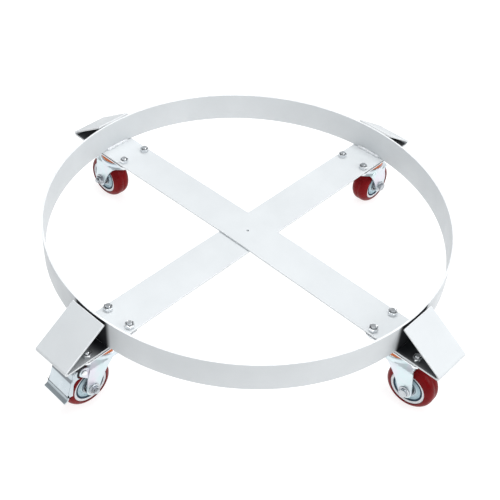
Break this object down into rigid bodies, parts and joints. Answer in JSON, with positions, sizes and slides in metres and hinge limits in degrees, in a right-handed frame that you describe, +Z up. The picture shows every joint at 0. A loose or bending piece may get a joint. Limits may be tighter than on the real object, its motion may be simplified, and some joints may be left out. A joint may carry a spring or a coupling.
{
  "type": "drum dolly",
  "caption": "Round drum dolly: a steel band ring on crossed flat bars with folded sloped outriggers, on swivel casters, one of which has a foot brake.",
  "frame": {"origin": "on the floor under the centre of the ring", "axes": "+Z up, +X along the upper cross bar towards the front right caster, -Y along the lower cross bar towards the braked front left caster"},
  "size_m": [0.7574, 0.7574, 0.1616],
  "materials": {
    "silver_grey_paint": "satin silver-grey powder coat",
    "zinc_plate": "zinc plated pressed steel",
    "bright_zinc": "bright zinc plated steel with a faint blue tint",
    "bearing_steel": "ground steel",
    "amber_seal": "moulded amber nylon",
    "dark_red_polyurethane": "smooth moulded polyurethane, gloss",
    "pale_core": "moulded, pale grey",
    "brake_rubber": "matte black"
  },
  "bodies": {
    "frame": {"ring_band": "silver_grey_paint", "upper_cross_bar": "silver_grey_paint", "lower_cross_bar": "silver_grey_paint", "front_right_mount_plate": "zinc_plate", "front_right_kingpin": "bright_zinc", "front_right_bolt_inner_a": "bright_zinc", "front_right_bolt_inner_b": "bright_zinc", "front_right_bolt_outer_a": "bright_zinc", "front_right_bolt_outer_b": "bright_zinc", "back_right_mount_plate": "zinc_plate", "back_right_kingpin": "bright_zinc", "back_right_bolt_inner_a": "bright_zinc", "back_right_bolt_inner_b": "bright_zinc", "back_right_bolt_outer_a": "bright_zinc", "back_right_bolt_outer_b": "bright_zinc", "back_left_mount_plate": "zinc_plate", "back_left_kingpin": "bright_zinc", "back_left_bolt_inner_a": "bright_zinc", "back_left_bolt_inner_b": "bright_zinc", "back_left_bolt_outer_a": "bright_zinc", "back_left_bolt_outer_b": "bright_zinc", "front_left_mount_plate": "zinc_plate", "front_left_kingpin": "bright_zinc", "front_left_bolt_inner_a": "bright_zinc", "front_left_bolt_inner_b": "bright_zinc", "front_left_bolt_outer_a": "bright_zinc", "front_left_bolt_outer_b": "bright_zinc"},
    "front_right_swivel": {"front_right_fork": "bright_zinc", "front_right_dust_seal": "amber_seal", "front_right_axle_bolt": "bright_zinc", "front_right_axle_nut": "bright_zinc"},
    "front_right_wheel": {"front_right_wheel_core": "pale_core", "front_right_wheel_tread": "dark_red_polyurethane", "front_right_hub_bearing": "bearing_steel"},
    "back_right_swivel": {"back_right_fork": "bright_zinc", "back_right_dust_seal": "amber_seal", "back_right_axle_bolt": "bright_zinc", "back_right_axle_nut": "bright_zinc"},
    "back_right_wheel": {"back_right_wheel_core": "pale_core", "back_right_wheel_tread": "dark_red_polyurethane", "back_right_hub_bearing": "bearing_steel"},
    "back_left_swivel": {"back_left_fork": "bright_zinc", "back_left_dust_seal": "amber_seal", "back_left_axle_bolt": "bright_zinc", "back_left_axle_nut": "bright_zinc"},
    "back_left_wheel": {"back_left_wheel_core": "pale_core", "back_left_wheel_tread": "dark_red_polyurethane", "back_left_hub_bearing": "bearing_steel"},
    "front_left_swivel": {"front_left_fork": "bright_zinc", "front_left_dust_seal": "amber_seal", "front_left_axle_bolt": "bright_zinc", "front_left_axle_nut": "bright_zinc", "front_left_brake_pin": "bright_zinc"},
    "front_left_wheel": {"front_left_wheel_core": "pale_core", "front_left_wheel_tread": "dark_red_polyurethane", "front_left_hub_bearing": "bearing_steel"},
    "front_left_brake": {"front_left_brake_pedal": "bright_zinc", "front_left_brake_shoe": "brake_rubber", "front_left_brake_spring": "bearing_steel"}
  },
  "joints": [
    {"name": "front_right_swivel_turn", "type": "hinge", "parent": "frame", "child": "front_right_swivel", "pos_m": [0.2985, 0, 0.1], "axis": [0, 0, 1], "continuous": true},
    {"name": "front_right_wheel_spin", "type": "hinge", "parent": "front_right_swivel", "child": "front_right_wheel", "pos_m": [0.32794, 0.0018, 0.0375], "axis": [0.061, -0.9981, 0], "continuous": true},
    {"name": "back_right_swivel_turn", "type": "hinge", "parent": "frame", "child": "back_right_swivel", "pos_m": [0, 0.2985, 0.1], "axis": [0, 0, 1], "continuous": true},
    {"name": "back_right_wheel_spin", "type": "hinge", "parent": "back_right_swivel", "child": "back_right_wheel", "pos_m": [-0.00052, 0.328, 0.0375], "axis": [0.9998, 0.0175, 0], "continuous": true},
    {"name": "back_left_swivel_turn", "type": "hinge", "parent": "frame", "child": "back_left_swivel", "pos_m": [-0.2985, 0, 0.1], "axis": [0, 0, 1], "continuous": true},
    {"name": "back_left_wheel_spin", "type": "hinge", "parent": "back_left_swivel", "child": "back_left_wheel", "pos_m": [-0.32799, 0.00082, 0.0375], "axis": [0.0279, 0.9996, 0], "continuous": true},
    {"name": "front_left_swivel_turn", "type": "hinge", "parent": "frame", "child": "front_left_swivel", "pos_m": [0, -0.2985, 0.1], "axis": [0, 0, 1], "continuous": true},
    {"name": "front_left_wheel_spin", "type": "hinge", "parent": "front_left_swivel", "child": "front_left_wheel", "pos_m": [-0.00093, -0.32799, 0.0375], "axis": [-0.9995, 0.0314, 0], "continuous": true},
    {"name": "front_left_brake_press", "type": "hinge", "parent": "front_left_swivel", "child": "front_left_brake", "pos_m": [-0.00135, -0.34148, 0.082], "axis": [0.9995, -0.0314, 0], "range_deg": [0, 6]}
  ]
}
